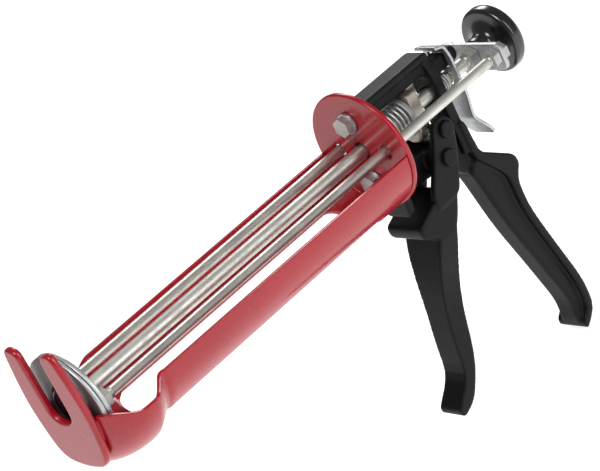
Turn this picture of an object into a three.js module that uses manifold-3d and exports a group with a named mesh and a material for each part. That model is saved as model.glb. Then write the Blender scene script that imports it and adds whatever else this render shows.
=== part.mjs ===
// Manual gun for coaxial two-component resin cartridges.
//
// Millimetres. +X points forwards to the nozzle, +Y to the gun's left and +Z up.
// The origin lies on the drive rod's axis, in the front face of the cradle's rear plate.
// The gun stands with its plunger pushed fully forward and its trigger released.

import * as THREE from 'three';
import { mergeVertices } from 'three/addons/utils/BufferGeometryUtils.js';
import Module from 'manifold-3d';

const wasm = await Module();
wasm.setup();

// ---------------------------------------------------------------- fits
const GAP = 0.3;                 // between two pieces that touch
const ROD_CLEARANCE = 0.7;       // round a rod that slides through a hole
const PIN_CLEARANCE = 0.3;       // round a rivet or a bolt in its hole

// ---------------------------------------------------------------- cradle
const CRADLE_LENGTH = 222.5;     // rear plate to hook plate
const CRADLE_RADIUS = 34;        // outside of the trough
const CRADLE_SHEET = 2;
const CRADLE_EDGE = -2;          // height of the trough's two long edges
const NOSE_LENGTH = 37;          // closed pressed nose, back from the hook plate
const NOSE_BULGE = 5;            // how far the nose swells past the trough
const NOSE_MOUTH = 5;            // how far it has drawn in at the hook plate
const NOSE_DIP = 7;              // how far the trough's edges dip round the nose
const WINDOW_START = 18;         // rear end of the window in the trough's floor
const WINDOW_HALF_WIDTH = 22.5;
const WINDOW_REACH = 1;          // how far the window runs on past the neck
const WINDOW_CORNER = 7;
const PLATE_THICKNESS = 3;
const PLATE_LIP = 1;             // rear plate stands this far past the trough
const HOOK_THICKNESS = 4;
const HOOK_HALF_WIDTH = 25;
const HOOK_TOP = 36.5;
const HOOK_BOTTOM = -33;
const SLOT_HALF_WIDTH = 9;
const SLOT_BOTTOM = -6;

// ---------------------------------------------------------------- plunger
const SIDE_ROD_RADIUS = 3;
const SIDE_ROD_OFFSET = 18;      // from the drive rod's axis, left and right
const DRIVE_ROD_RADIUS = 4;
const PUSHER_CLEARANCE = 4.5;    // between the pusher and the trough's inside
const RING_THICKNESS = 2.3;
const CARRIER_THICKNESS = 2.5;
const RING_BORE_RADIUS = 12;
const INNER_PUSHER_RADIUS = 10;
const PUSHER_SETBACK = 3;        // ring's front face behind the hook plate
const YOKE_STANDOFF = 94;        // rear plate's face to the yoke's front face
const YOKE_THICKNESS = 3;
const YOKE_HALF_WIDTH = 24;
const YOKE_TOP = 7.5;
const YOKE_BOTTOM = -9;
const KNOB_RADIUS = 20;
const KNOB_LENGTH = 23;
const KNOB_HUB_RADIUS = 8;
const NUT_FLATS = 10;            // M6
const NUT_HEIGHT = 5;
const JAM_NUT_HEIGHT = 3.2;
const DRIVE_NUT_FLATS = 13;      // M8
const DRIVE_NUT_HEIGHT = 6;
const BOLT_RADIUS = 3;
const BOLT_HEAD_HEIGHT = 4;
const BOLT_OFFSET = 18;          // above and below the drive rod
const BOLT_REACH = 9;            // shank below the head
const WASHER_THICKNESS = 1.6;
const WASHER_RADIUS = 6.2;

// ---------------------------------------------------------------- body
const FRONT_WALL = 5;
const BAY_LENGTH = 47;           // opening for the grip plate and its spring
const REAR_WALL = 7;
const BODY_TOP = 24.5;
const BAY_TOP = 13;
const BAY_BOTTOM = -21;
const BODY_BOTTOM = -35;
const WEB_HALF_WIDTH = 5;
const FRONT_WALL_HALF_WIDTH = 13;
const REAR_WALL_HALF_WIDTH = 9;
const BOSS_HALF_WIDTH = 10.5;    // pivot boss between the trigger's ears
const BOSS_RADIUS = 9;
const PIVOT_X = -39;
const PIVOT_Z = -29;
const LUG_LENGTH = 20;           // lug that carries the release lever
const LUG_TOP = 16;
const LUG_HEIGHT = 9;
const HANDLE_BOTTOM = -176;
const HANDLE_HALF_WIDTH = 7.5;
const FLANGE_HALF_WIDTH = 11;

// ---------------------------------------------------------------- trigger and grip plate
const EAR_GAP = 0.5;             // ear to boss, each side
const EAR_THICKNESS = 3.7;
const EAR_STEP = 0.7;            // ear's lower end over the blade, each side
const PIN_RADIUS = 2.5;
const RIVET_HEAD_RADIUS = 5;
const RIVET_HEAD_HEIGHT = 2.2;
const DRIVE_PIN_X = -45;
const DRIVE_PIN_Z = -15;
const TRIGGER_BOTTOM = -161;
const TRIGGER_HALF_WIDTH = 8.5;
const GRIP_THICKNESS = 8;
const GRIP_HALF_WIDTH = 9;
const GRIP_TOP = 12;
const GRIP_BOTTOM = -17.5;
const CUP_RADIUS = 12.5;
const CUP_RIM = 3;
const CUP_WALL = 1.2;
const DRIVE_SPRING_RADIUS = 9.5; // centre of the wire
const DRIVE_SPRING_WIRE = 1.9;
const DRIVE_SPRING_TURNS = 5;

// ---------------------------------------------------------------- release lever
const LEVER_SETBACK = 9.5;       // lever's front face behind the body's rear wall
const LEVER_THICKNESS = 2;
const LEVER_HALF_WIDTH = 10;
const LEVER_TOP = 19.5;
const LEVER_KNEE = -26;          // where the thumb tab bends away
const TAB_DROP = 15;
const TAB_REACH = 9;
const LUG_CLEARANCE = 0.8;
const RELEASE_SPRING_RADIUS = 5.7;
const RELEASE_SPRING_GAP = 1.5;  // to the lever, which swings towards the spring
const RELEASE_SPRING_WIRE = 1.4;
const RELEASE_SPRING_TURNS = 3;

// ---------------------------------------------------------------- places that follow
const bodyFront = -(PLATE_THICKNESS + GAP);
const bayFront = bodyFront - FRONT_WALL;
const bayRear = bayFront - BAY_LENGTH;
const bodyRear = bayRear - REAR_WALL;
const leverFront = bodyRear - LEVER_SETBACK;
const leverRear = leverFront - LEVER_THICKNESS;
const hookRear = CRADLE_LENGTH + GAP;
const hookFront = hookRear + HOOK_THICKNESS;
const ringFront = CRADLE_LENGTH - PUSHER_SETBACK;
const ringRear = ringFront - RING_THICKNESS;
const carrierFront = ringRear - GAP;
const carrierRear = carrierFront - CARRIER_THICKNESS;
const yokeFront = -YOKE_STANDOFF;
const yokeRear = yokeFront - YOKE_THICKNESS;
const pusherRadius = CRADLE_RADIUS - CRADLE_SHEET - PUSHER_CLEARANCE;
const plateRadius = CRADLE_RADIUS + PLATE_LIP;
const noseStart = CRADLE_LENGTH - NOSE_LENGTH;
const windowEnd = noseStart + WINDOW_REACH;
const earInside = BOSS_HALF_WIDTH + EAR_GAP;
const earOutside = earInside + EAR_THICKNESS;
const bridgeHalfWidth = earOutside - EAR_STEP;
const gripRear = DRIVE_PIN_X + PIN_RADIUS + GAP;
const gripFront = gripRear + GRIP_THICKNESS;
const cupRear = gripFront + GAP;
const sideRods = [['left', SIDE_ROD_OFFSET], ['right', -SIDE_ROD_OFFSET]];
const bolts = [['upper', BOLT_OFFSET], ['lower', -BOLT_OFFSET]];

// ---------------------------------------------------------------- solids and shapes

// A closed geometry as a manifold solid that can be joined and cut.
function solid(geometry) {
  const bare = geometry.clone();
  bare.deleteAttribute('normal');
  bare.deleteAttribute('uv');
  const merged = mergeVertices(bare, 1e-4);
  const index = merged.index.array;
  const triangles = [];
  for (let i = 0; i < index.length; i += 3) {
    const [a, b, c] = [index[i], index[i + 1], index[i + 2]];
    if (a !== b && b !== c && c !== a) triangles.push(a, b, c);
  }
  return new wasm.Manifold(new wasm.Mesh({
    numProp: 3,
    vertProperties: Float32Array.from(merged.attributes.position.array),
    triVerts: Uint32Array.from(triangles),
  }));
}

// A manifold solid back as a geometry.
function geometryOf(manifold) {
  const cut = manifold.getMesh();
  const geometry = new THREE.BufferGeometry();
  geometry.setAttribute('position', new THREE.BufferAttribute(cut.vertProperties, 3));
  geometry.setIndex(new THREE.BufferAttribute(cut.triVerts, 1));
  return geometry;
}

// A closed outline through [u, v, cut] corners, each rounded back along both sides by its cut.
function outline(corners) {
  const shape = new THREE.Shape();
  corners.forEach(([u, v, cut = 0], i) => {
    const corner = new THREE.Vector2(u, v);
    const step = (other) => {
      const side = new THREE.Vector2(other[0], other[1]).sub(corner);
      return corner.clone().addScaledVector(side, Math.min(cut / side.length(), 0.45));
    };
    const start = step(corners.at(i - 1));
    const end = step(corners[(i + 1) % corners.length]);
    if (i === 0) shape.moveTo(start.x, start.y);
    else shape.lineTo(start.x, start.y);
    if (cut > 0) shape.quadraticCurveTo(u, v, end.x, end.y);
  });
  shape.closePath();
  return shape;
}

function extrude(shape, depth, bevel, curveSegments) {
  const geometry = new THREE.ExtrudeGeometry(shape, {
    depth: depth - 2 * bevel,
    bevelEnabled: bevel > 0,
    bevelThickness: bevel,
    bevelSize: bevel,
    bevelOffset: -bevel,
    bevelSegments: 1,
    curveSegments,
  });
  return geometry.translate(0, 0, bevel);
}

// A (y, z) outline swept along X from one place to another.
function alongX(shape, from, to, bevel = 0, curveSegments = 3) {
  const turn = new THREE.Matrix4().makeBasis(
    new THREE.Vector3(0, 1, 0), new THREE.Vector3(0, 0, 1), new THREE.Vector3(1, 0, 0));
  return extrude(shape, to - from, bevel, curveSegments).applyMatrix4(turn).translate(from, 0, 0);
}

// An (x, z) outline swept along Y between two places.
function alongY(shape, from, to, bevel = 0, curveSegments = 3) {
  return extrude(shape, to - from, bevel, curveSegments).rotateX(Math.PI / 2).translate(0, to, 0);
}

function box(x0, x1, y0, y1, z0, z1) {
  const geometry = new THREE.BoxGeometry(x1 - x0, y1 - y0, z1 - z0);
  return geometry.translate((x0 + x1) / 2, (y0 + y1) / 2, (z0 + z1) / 2);
}

function cylinderX(radius, from, to, y = 0, z = 0, sides = 20) {
  const geometry = new THREE.CylinderGeometry(radius, radius, to - from, sides);
  return geometry.rotateZ(-Math.PI / 2).translate((from + to) / 2, y, z);
}

function cylinderY(radius, from, to, x, z, sides = 20) {
  const geometry = new THREE.CylinderGeometry(radius, radius, to - from, sides);
  return geometry.translate(x, (from + to) / 2, z);
}

// A solid of revolution about a line along X, from an [x, radius] profile.
function turned(profile, y = 0, z = 0, sides = 32) {
  const points = profile.map(([x, radius]) => new THREE.Vector2(radius, x));
  return new THREE.LatheGeometry(points, sides).rotateZ(-Math.PI / 2).translate(0, y, z);
}

// A strip of even thickness whose front side follows (x, z) points from top to bottom.
function strip(front, thickness, cut) {
  const back = front.map(([x, z], i) => {
    const ahead = front[Math.min(i + 1, front.length - 1)];
    const behind = front[Math.max(i - 1, 0)];
    const side = new THREE.Vector2(ahead[1] - behind[1], behind[0] - ahead[0]).setLength(thickness);
    return [x + side.x, z + side.y];
  });
  const last = front.length - 1;
  const bend = (i) => (i === 0 || i === last ? 0 : cut);
  return outline([
    ...front.map(([x, z], i) => [x, z, bend(i)]),
    ...back.map(([x, z], i) => [x, z, bend(i)]).reverse(),
  ]);
}

const materials = {
  red: { color: 0xa3141f, roughness: 0.3, metalness: 0.1 },
  zinc: { color: 0xc4c2b8, roughness: 0.35, metalness: 0.9 },
  steel: { color: 0x9a938a, roughness: 0.4, metalness: 0.9 },
  black: { color: 0x26262a, roughness: 0.5, metalness: 0.0 },
  gloss: { color: 0x121214, roughness: 0.2, metalness: 0.0 },
};

const gun = new THREE.Group();

function add(name, finish, geometry) {
  const mesh = new THREE.Mesh(geometry, new THREE.MeshStandardMaterial(materials[finish]));
  mesh.name = name;
  gun.add(mesh);
}

// ================================================================ cradle

// The trough is a turned shell with its upper half and a window in its floor cut away. The nose
// swells out of the trough behind a pressed neck and draws in to the hook plate.
function cradleShell() {
  const nose = new THREE.SplineCurve([
    new THREE.Vector2(noseStart, CRADLE_RADIUS),
    new THREE.Vector2(noseStart + NOSE_LENGTH * 0.14, CRADLE_RADIUS + NOSE_BULGE * 0.3),
    new THREE.Vector2(noseStart + NOSE_LENGTH * 0.32, CRADLE_RADIUS + NOSE_BULGE * 0.9),
    new THREE.Vector2(noseStart + NOSE_LENGTH * 0.54, CRADLE_RADIUS + NOSE_BULGE),
    new THREE.Vector2(noseStart + NOSE_LENGTH * 0.8, CRADLE_RADIUS + NOSE_BULGE * 0.5),
    new THREE.Vector2(CRADLE_LENGTH, CRADLE_RADIUS - NOSE_MOUTH),
  ]).getPoints(13);
  const outer = [[GAP, CRADLE_RADIUS], ...nose.map((point) => [point.x, point.y])];
  const inner = outer.map(([x, radius], i) => {
    const ahead = outer[Math.min(i + 1, outer.length - 1)];
    const behind = outer[Math.max(i - 1, 0)];
    const slope = Math.atan2(ahead[1] - behind[1], ahead[0] - behind[0]);
    const atEnd = i === 0 || i === outer.length - 1;
    const shift = atEnd ? 0 : Math.sin(slope) * CRADLE_SHEET;
    return [x + shift, radius - CRADLE_SHEET * Math.cos(slope)];
  });
  const shell = solid(turned([...outer, ...inner.reverse(), outer[0]], 0, 0, 56));
  const reach = CRADLE_RADIUS + NOSE_BULGE + 5;
  const upper = solid(box(-1, CRADLE_LENGTH + 1, -reach, reach, CRADLE_EDGE, reach));
  const dip = solid(alongY(outline([
    [noseStart - 2, CRADLE_EDGE + 1, 1],
    [noseStart + NOSE_LENGTH * 0.25, CRADLE_EDGE - NOSE_DIP, 5],
    [noseStart + NOSE_LENGTH * 0.6, CRADLE_EDGE - NOSE_DIP, 5],
    [CRADLE_LENGTH - 2, CRADLE_EDGE + 1, 1],
  ]), -reach, reach, 0));
  const window = solid(extrude(outline([
    [WINDOW_START, -WINDOW_HALF_WIDTH, WINDOW_CORNER],
    [windowEnd, -WINDOW_HALF_WIDTH, WINDOW_CORNER],
    [windowEnd, WINDOW_HALF_WIDTH, WINDOW_CORNER],
    [WINDOW_START, WINDOW_HALF_WIDTH, WINDOW_CORNER],
  ]), reach, 0, 4).translate(0, 0, -reach - CRADLE_RADIUS / 3));
  return geometryOf(shell.subtract(upper).subtract(dip).subtract(window));
}

// Rear plate: a disc with holes for three rods and two bolts.
function rearPlate() {
  const edge = 0.8;
  const holes = [
    cylinderX(DRIVE_ROD_RADIUS + ROD_CLEARANCE, -PLATE_THICKNESS - 1, 1),
    ...sideRods.map(([, y]) => cylinderX(SIDE_ROD_RADIUS + ROD_CLEARANCE, -PLATE_THICKNESS - 1, 1, y, 0)),
    ...bolts.map(([, z]) => cylinderX(BOLT_RADIUS + PIN_CLEARANCE, -PLATE_THICKNESS - 1, 1, 0, z)),
  ];
  const disc = turned([
    [-PLATE_THICKNESS, 0],
    [-PLATE_THICKNESS, plateRadius - edge],
    [-PLATE_THICKNESS + edge, plateRadius],
    [-edge, plateRadius],
    [0, plateRadius - edge],
    [0, 0],
  ], 0, 0, 48);
  return geometryOf(holes.reduce((plate, hole) => plate.subtract(solid(hole)), solid(disc)));
}

// Hook plate: an oval with a slot open upwards, which the cartridge's nozzle passes through.
function hookPlate() {
  const waist = (HOOK_TOP + HOOK_BOTTOM) / 2;
  const prong = (HOOK_HALF_WIDTH + SLOT_HALF_WIDTH) / 2;
  const half = [
    [0, HOOK_BOTTOM, 8],
    [HOOK_HALF_WIDTH * 0.8, HOOK_BOTTOM + 3, 10],
    [HOOK_HALF_WIDTH, waist - 4, 14],
    [HOOK_HALF_WIDTH - 1, waist + 14, 10],
    [prong + 3, HOOK_TOP, 4],
    [SLOT_HALF_WIDTH + 0.5, HOOK_TOP - 2, 3],
    [SLOT_HALF_WIDTH, SLOT_BOTTOM, SLOT_HALF_WIDTH],
  ];
  const mirrored = half.slice(1).reverse().map(([y, z, cut]) => [-y, z, cut]);
  return alongX(outline([...half, ...mirrored]), hookRear, hookFront, 1, 4);
}

add('cradle', 'red', cradleShell());
add('rear_plate', 'red', rearPlate());
add('hook_plate', 'red', hookPlate());

// ================================================================ fasteners

// A chamfered hex prism from one X to another, with an optional hole.
function hex(flats, from, to, y, z, hole) {
  const corner = flats / Math.sqrt(3);
  const chamfer = flats * 0.07;
  const prism = solid(cylinderX(corner, from, to, y, z, 6));
  const turnedBlank = solid(turned([
    [from, 0],
    [from, corner - 2 * chamfer],
    [from + chamfer, corner],
    [to - chamfer, corner],
    [to, corner - 2 * chamfer],
    [to, 0],
  ], y, z, 12));
  const nut = prism.intersect(turnedBlank);
  return hole ? nut.subtract(solid(cylinderX(hole, from - 1, to + 1, y, z, 16))) : nut;
}

// Bolts hold the cradle to the body. Their shanks end in blind holes in the front wall.
for (const [side, z] of bolts) {
  const washerFront = GAP + WASHER_THICKNESS;
  const headRear = washerFront + GAP;
  const head = hex(NUT_FLATS, headRear, headRear + BOLT_HEAD_HEIGHT, 0, z, 0);
  const shank = solid(cylinderX(BOLT_RADIUS, headRear - BOLT_REACH, headRear + 1, 0, z));
  add(`${side}_plate_bolt`, 'zinc', geometryOf(head.add(shank)));
  const washer = solid(cylinderX(WASHER_RADIUS, GAP, washerFront, 0, z, 24));
  const hole = solid(cylinderX(BOLT_RADIUS + PIN_CLEARANCE, 0, washerFront + 1, 0, z));
  add(`${side}_plate_washer`, 'zinc', geometryOf(washer.subtract(hole)));
}

// ================================================================ plunger

// Rods with a small chamfer at both ends.
function rod(radius, from, to, y) {
  const tip = radius * 0.25;
  return turned([
    [from, 0],
    [from, radius - tip],
    [from + tip, radius],
    [to - tip, radius],
    [to, radius - tip],
    [to, 0],
  ], y, 0, 20);
}

function drilled(blank, radius, from, to, places) {
  return places.reduce(
    (piece, y) => piece.subtract(solid(cylinderX(radius, from - 1, to + 1, y, 0))), blank);
}

const jamRear = yokeRear - GAP - JAM_NUT_HEIGHT;
const innerRear = carrierFront + GAP;
const innerFront = ringFront + 1.5;
for (const [side, y] of sideRods) {
  add(`${side}_rod`, 'zinc', rod(SIDE_ROD_RADIUS, jamRear - 1.5, ringFront - 0.5, y));
  const carrierNutFront = carrierRear - GAP;
  const hole = SIDE_ROD_RADIUS + GAP;
  add(`${side}_carrier_nut`, 'zinc',
    geometryOf(hex(NUT_FLATS, carrierNutFront - NUT_HEIGHT, carrierNutFront, y, 0, hole)));
  add(`${side}_yoke_nut`, 'zinc',
    geometryOf(hex(NUT_FLATS, yokeFront + GAP, yokeFront + GAP + NUT_HEIGHT, y, 0, hole)));
  add(`${side}_jam_nut`, 'zinc', geometryOf(hex(NUT_FLATS, jamRear, yokeRear - GAP, y, 0, hole)));
}

const knobFront = yokeRear - GAP;
const knobBoreEnd = knobFront - 12;
add('drive_rod', 'zinc', rod(DRIVE_ROD_RADIUS, knobBoreEnd + GAP, innerFront - 1.5, 0));
add('drive_rod_nut', 'zinc', geometryOf(hex(
  DRIVE_NUT_FLATS, yokeFront + GAP, yokeFront + GAP + DRIVE_NUT_HEIGHT, 0, 0, DRIVE_ROD_RADIUS + GAP)));

// Pusher: a ring on a carrier disc, and a small inner pusher that runs in the ring's bore.
const sidePlaces = sideRods.map(([, y]) => y);
const ringBlank = solid(turned([
  [ringRear, RING_BORE_RADIUS],
  [ringRear, pusherRadius],
  [ringFront - 0.6, pusherRadius],
  [ringFront, pusherRadius - 0.6],
  [ringFront, RING_BORE_RADIUS],
  [ringRear, RING_BORE_RADIUS],
], 0, 0, 40));
add('pusher_ring', 'zinc',
  geometryOf(drilled(ringBlank, SIDE_ROD_RADIUS + GAP, ringRear, ringFront, sidePlaces)));

const carrierBlank = drilled(solid(cylinderX(pusherRadius, carrierRear, carrierFront, 0, 0, 40)),
  SIDE_ROD_RADIUS + GAP, carrierRear, carrierFront, sidePlaces);
add('pusher_carrier', 'zinc',
  geometryOf(drilled(carrierBlank, DRIVE_ROD_RADIUS + GAP, carrierRear, carrierFront, [0])));

const innerBlank = solid(turned([
  [innerRear, 0],
  [innerRear, INNER_PUSHER_RADIUS],
  [innerFront - 1, INNER_PUSHER_RADIUS],
  [innerFront, INNER_PUSHER_RADIUS - 1],
  [innerFront, 0],
]));
const innerBore = solid(cylinderX(DRIVE_ROD_RADIUS + GAP, innerRear - 1, innerFront - 1.2, 0, 0));
add('inner_pusher', 'gloss', geometryOf(innerBlank.subtract(innerBore)));

// Yoke: the flat plate that ties the three rods together behind the body.
const yokeBlank = solid(alongX(outline([
  [-YOKE_HALF_WIDTH, YOKE_BOTTOM, 4],
  [YOKE_HALF_WIDTH, YOKE_BOTTOM, 4],
  [YOKE_HALF_WIDTH, YOKE_TOP, 4],
  [-YOKE_HALF_WIDTH, YOKE_TOP, 4],
]), yokeRear, yokeFront, 0.5));
const yokeDrilled = drilled(yokeBlank, SIDE_ROD_RADIUS + GAP, yokeRear, yokeFront, sidePlaces);
add('yoke', 'zinc', geometryOf(drilled(yokeDrilled, DRIVE_ROD_RADIUS + GAP, yokeRear, yokeFront, [0])));

// Knob: a mushroom on a short hub. Its blind bore takes the end of the drive rod.
const knobRear = knobFront - KNOB_LENGTH;
const capFront = knobRear + KNOB_LENGTH * 0.45;
const dome = new THREE.SplineCurve([
  new THREE.Vector2(knobRear, 0),
  new THREE.Vector2(knobRear + 0.6, KNOB_RADIUS * 0.4),
  new THREE.Vector2(knobRear + 2.6, KNOB_RADIUS * 0.75),
  new THREE.Vector2(knobRear + 6.5, KNOB_RADIUS * 0.97),
  new THREE.Vector2(capFront - 1.5, KNOB_RADIUS),
]).getPoints(8).map((point) => [point.x, Math.max(point.y, 0)]);
const knobBlank = solid(turned([
  ...dome,
  [capFront, KNOB_RADIUS - 1],
  [capFront + 0.5, KNOB_RADIUS - 4],
  [capFront + 2.5, KNOB_HUB_RADIUS + 3],
  [capFront + 6, KNOB_HUB_RADIUS],
  [knobFront, KNOB_HUB_RADIUS],
  [knobFront, 0],
]));
const knobBore = solid(cylinderX(DRIVE_ROD_RADIUS + GAP, knobBoreEnd, knobFront + 1, 0, 0));
add('knob', 'gloss', geometryOf(knobBlank.subtract(knobBore)));

// ================================================================ body

// One casting: front wall, spine, rear wall, pivot boss, the lug behind and the rear handle.
function bodyCasting() {
  const lugRear = bodyRear - LUG_LENGTH;
  const lugBottom = LUG_TOP - LUG_HEIGHT;
  const frame = solid(alongY(outline([
    [bodyFront, BODY_BOTTOM, 3],
    [bodyFront, BODY_TOP, 4],
    [bodyRear + 2, BODY_TOP, 5],
    [bodyRear - 2, LUG_TOP, 3],
    [lugRear, LUG_TOP, 4],
    [lugRear, lugBottom, 4],
    [bodyRear, lugBottom, 2],
    [bodyRear, BAY_BOTTOM - 4, 3],
    [bodyRear - 3, BODY_BOTTOM - 12, 4],
    [bayRear + 2, BODY_BOTTOM - 16, 4],
    [PIVOT_X - 6, BODY_BOTTOM - 3, 4],
    [PIVOT_X + 6, BODY_BOTTOM - 2, 4],
  ]), -WEB_HALF_WIDTH, WEB_HALF_WIDTH, 1));
  const bay = solid(alongY(outline([
    [bayFront, BAY_BOTTOM, 3],
    [bayFront, BAY_TOP, 4],
    [bayRear, BAY_TOP, 4],
    [bayRear, BAY_BOTTOM, 3],
  ]), -earOutside, earOutside, 0, 4));
  const frontWall = solid(alongX(outline([
    [-FRONT_WALL_HALF_WIDTH * 0.75, BODY_BOTTOM - 10, 3],
    [FRONT_WALL_HALF_WIDTH * 0.75, BODY_BOTTOM - 10, 3],
    [FRONT_WALL_HALF_WIDTH, BAY_BOTTOM + 4, 3],
    [FRONT_WALL_HALF_WIDTH, BAY_TOP - 3, 3],
    [WEB_HALF_WIDTH + 3, BODY_TOP, 4],
    [-WEB_HALF_WIDTH - 3, BODY_TOP, 4],
    [-FRONT_WALL_HALF_WIDTH, BAY_TOP - 3, 3],
    [-FRONT_WALL_HALF_WIDTH, BAY_BOTTOM + 4, 3],
  ]), bayFront, bodyFront, 0.6));
  const rearWall = solid(alongX(outline([
    [-REAR_WALL_HALF_WIDTH, BODY_BOTTOM - 4, 2],
    [REAR_WALL_HALF_WIDTH, BODY_BOTTOM - 4, 2],
    [REAR_WALL_HALF_WIDTH, BAY_TOP, 4],
    [WEB_HALF_WIDTH, BODY_TOP - 2, 3],
    [-WEB_HALF_WIDTH, BODY_TOP - 2, 3],
    [-REAR_WALL_HALF_WIDTH, BAY_TOP, 4],
  ]), bodyRear, bayRear, 0.6));
  // The spine has a wider cap along its top.
  const cap = solid(alongY(outline([
    [bodyFront - 1, BODY_TOP - 4.5, 2],
    [bodyFront - 1, BODY_TOP, 3],
    [bodyRear + 2, BODY_TOP, 3],
    [bodyRear + 1, BODY_TOP - 4.5, 2],
  ]), -WEB_HALF_WIDTH - 2.5, WEB_HALF_WIDTH + 2.5, 0.6));
  const boss = solid(cylinderY(BOSS_RADIUS, -BOSS_HALF_WIDTH, BOSS_HALF_WIDTH, PIVOT_X, PIVOT_Z, 32));
  const parts = [frontWall, rearWall, cap, boss, handleWeb(), handleFlange()];
  const blank = parts.reduce((whole, part) => whole.add(part), frame.subtract(bay));
  const boltEnd = GAP + WASHER_THICKNESS + GAP - BOLT_REACH - GAP;
  const holes = [
    cylinderX(DRIVE_ROD_RADIUS + ROD_CLEARANCE, bodyRear - 1, bodyFront + 1, 0, 0, 32),
    cylinderY(PIN_RADIUS + PIN_CLEARANCE, -earOutside, earOutside, PIVOT_X, PIVOT_Z),
    ...bolts.map(([, z]) => cylinderX(BOLT_RADIUS + PIN_CLEARANCE, boltEnd, bodyFront + 1, 0, z)),
  ];
  return geometryOf(holes.reduce((whole, hole) => whole.subtract(solid(hole)), blank));
}

// Handle web: the palm's rounded front, with a small toe at the bottom.
function handleWeb() {
  return solid(alongY(outline([
    [bayRear + 1, BODY_BOTTOM - 14, 4],
    [bayRear - 2, -60, 10],
    [bayRear - 8, -92, 16],
    [bayRear - 17, -122, 16],
    [bayRear - 27, HANDLE_BOTTOM + 18, 8],
    [bayRear - 25, HANDLE_BOTTOM + 2, 6],
    [bayRear - 36, HANDLE_BOTTOM + 6, 6],
    [bayRear - 34, HANDLE_BOTTOM + 24, 8],
    [bayRear - 26, -112, 16],
    [bayRear - 21, -88, 12],
    [bayRear - 23, -69, 6],
    [bodyRear - 2, BODY_BOTTOM - 8, 5],
  ]), -HANDLE_HALF_WIDTH, HANDLE_HALF_WIDTH, 1.5));
}

// Handle flange: a wider strip down the back, from the rear wall over the horn to the foot.
function handleFlange() {
  return solid(alongY(outline([
    [bodyRear + 4, BAY_BOTTOM + 2, 2],
    [bodyRear, BAY_BOTTOM, 2],
    [bodyRear - 1.5, BODY_BOTTOM - 7, 4],
    [bayRear - 29.5, -57, 3],
    [bayRear - 31, -63, 3],
    [bayRear - 25, -71, 5],
    [bayRear - 24.5, -88, 12],
    [bayRear - 30, -113, 16],
    [bayRear - 38.5, -148, 10],
    [bayRear - 38.5, HANDLE_BOTTOM + 9, 8],
    [bayRear - 27, HANDLE_BOTTOM, 2.5],
    [bayRear - 25.5, HANDLE_BOTTOM + 5, 2.5],
    [bayRear - 33.5, HANDLE_BOTTOM + 12, 6],
    [bayRear - 33.5, -147, 10],
    [bayRear - 25, -112, 16],
    [bayRear - 19.5, -88, 12],
    [bayRear - 19.5, -64, 6],
    [bodyRear + 3.5, BODY_BOTTOM - 8, 5],
  ]), -FLANGE_HALF_WIDTH, FLANGE_HALF_WIDTH, 0.5));
}

add('body', 'black', bodyCasting());

// ================================================================ trigger

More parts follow.
